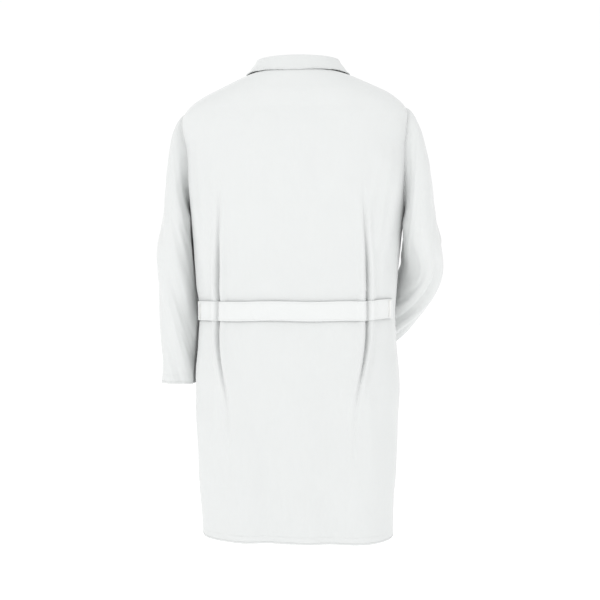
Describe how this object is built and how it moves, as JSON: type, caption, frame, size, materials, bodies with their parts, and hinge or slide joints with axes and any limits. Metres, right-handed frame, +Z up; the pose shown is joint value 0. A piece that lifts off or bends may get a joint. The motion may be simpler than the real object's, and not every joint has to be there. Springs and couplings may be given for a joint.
{
  "type": "lab coat",
  "caption": "Knee-length buttoned lab coat with notched lapels, half belt across the back, patch pockets, hinged fronts and sleeves that lift and bend.",
  "frame": {"origin": "middle of the neck base, between the shoulders, where a hanger or a wearer carries the coat", "axes": "+Z up, the coat's front faces -Y, the wearer's left is +X"},
  "size_m": [0.6279, 0.3567, 1.045],
  "materials": {
    "coat_cloth": "white twill, matt",
    "thread": "white sewing thread",
    "label": "plain woven tape with no lettering",
    "tape": "white cotton tape",
    "button_plastic": "white moulded button"
  },
  "bodies": {
    "torso": {"back_panel": "coat_cloth", "left_front_chest": "coat_cloth", "right_front_chest": "coat_cloth", "back_hem": "coat_cloth", "back_neck_facing": "coat_cloth", "neck_label": "label", "back_belt": "coat_cloth", "belt_bar_tacks": "thread", "left_lapel": "coat_cloth", "right_lapel": "coat_cloth", "chest_pocket": "coat_cloth", "collar_stand": "coat_cloth", "collar_fall": "coat_cloth", "loop_tacks": "thread"},
    "left_front": {"left_front_panel": "coat_cloth", "left_front_facing": "coat_cloth", "left_front_hem": "coat_cloth", "left_pocket": "coat_cloth", "buttonhole_welts": "thread"},
    "right_front": {"right_front_panel": "coat_cloth", "right_front_facing": "coat_cloth", "right_front_hem": "coat_cloth", "right_pocket": "coat_cloth", "thread_shanks": "thread"},
    "left_arm": {"left_upper_sleeve": "coat_cloth"},
    "left_forearm": {"left_lower_sleeve": "coat_cloth", "left_cuff_hem": "coat_cloth"},
    "right_arm": {"right_upper_sleeve": "coat_cloth"},
    "right_forearm": {"right_lower_sleeve": "coat_cloth", "right_cuff_hem": "coat_cloth"},
    "loop": {"hanging_loop": "tape"},
    "top_button": {"button_1": "button_plastic"},
    "second_button": {"button_2": "button_plastic"},
    "third_button": {"button_3": "button_plastic"},
    "low_button": {"button_4": "button_plastic"}
  },
  "joints": [
    {"name": "elbow_left", "type": "hinge", "parent": "left_arm", "child": "left_forearm", "pos_m": [0.274, -0.024, -0.432], "axis": [-1, 0, 0], "range_deg": [0, 88]},
    {"name": "elbow_right", "type": "hinge", "parent": "right_arm", "child": "right_forearm", "pos_m": [-0.26746, -0.03433, -0.432], "axis": [-0.8167, -0.577, 0], "range_deg": [-57, 31]},
    {"name": "front_left", "type": "hinge", "parent": "torso", "child": "left_front", "pos_m": [0.185, -0.079, -0.7], "axis": [0, 0, 1], "range_deg": [0, 80], "deforming": ["buttonhole_welts"]},
    {"name": "front_right", "type": "hinge", "parent": "torso", "child": "right_front", "pos_m": [-0.185, -0.076, -0.7], "axis": [0, 0, -1], "range_deg": [0, 20]},
    {"name": "loop_swing", "type": "hinge", "parent": "torso", "child": "loop", "pos_m": [0, 0.062, 0.014], "axis": [-1, 0, 0], "range_deg": [-12, 80]},
    {"name": "shoulder_left", "type": "hinge", "parent": "torso", "child": "left_arm", "pos_m": [0.238, 0, -0.066], "axis": [0, -1, 0], "range_deg": [0, 45]},
    {"name": "shoulder_right", "type": "hinge", "parent": "torso", "child": "right_arm", "pos_m": [-0.238, 0, -0.066], "axis": [0, 1, 0], "range_deg": [0, 45]},
    {"name": "turn_button_1", "type": "hinge", "parent": "right_front", "child": "top_button", "pos_m": [0, -0.12999, -0.402], "axis": [0, -1, 0], "range_deg": [-40, 40]},
    {"name": "turn_button_2", "type": "hinge", "parent": "right_front", "child": "second_button", "pos_m": [0, -0.1257, -0.52], "axis": [0, -1, 0], "range_deg": [-40, 40]},
    {"name": "turn_button_3", "type": "hinge", "parent": "right_front", "child": "third_button", "pos_m": [0, -0.12898, -0.638], "axis": [0, -1, 0], "range_deg": [-40, 40]},
    {"name": "turn_button_4", "type": "hinge", "parent": "right_front", "child": "low_button", "pos_m": [0, -0.13016, -0.756], "axis": [0, -1, 0], "range_deg": [-40, 40]}
  ],
  "couplings": [
    {"joint": "front_right", "follows": "front_left", "ratio": 0.25}
  ]
}
